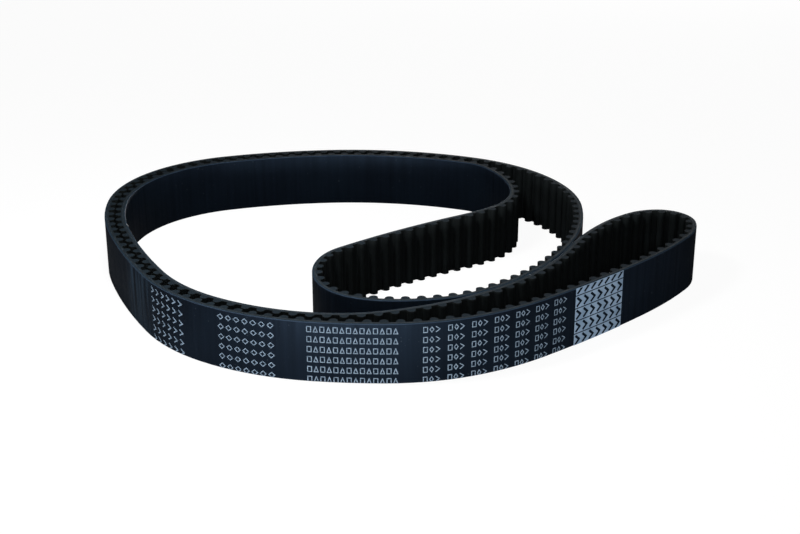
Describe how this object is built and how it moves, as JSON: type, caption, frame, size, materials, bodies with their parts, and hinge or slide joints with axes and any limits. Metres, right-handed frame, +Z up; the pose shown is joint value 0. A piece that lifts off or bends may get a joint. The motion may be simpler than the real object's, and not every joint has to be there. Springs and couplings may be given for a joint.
{
  "type": "timing belt",
  "caption": "Endless rubber timing belt with round teeth inside, a fabric tooth face and a pale printed label, standing on edge in a loose coil.",
  "frame": {"origin": "middle of the rectangle that the standing belt covers, on its lower cut edge", "axes": "+Z up across the belt's width, +X to the narrow nose of the coil, +Y to the back of the coil"},
  "size_m": [0.3264, 0.2556, 0.031],
  "materials": {
    "back_rubber": "ground matte rubber with a soft bluish sheen",
    "cord_layer": "cut edge of glass cords in bonding rubber",
    "facing_fabric": "black woven nylon",
    "tooth_rubber": "matte black rubber, knife-cut at the edges",
    "transfer_label": "matte pale transfer film"
  },
  "bodies": {
    "root": {"back_rubber": "back_rubber", "cord_layer": "cord_layer", "facing_fabric": "facing_fabric", "tooth_rubber": "tooth_rubber", "transfer_label": "transfer_label"}
  },
  "joints": []
}
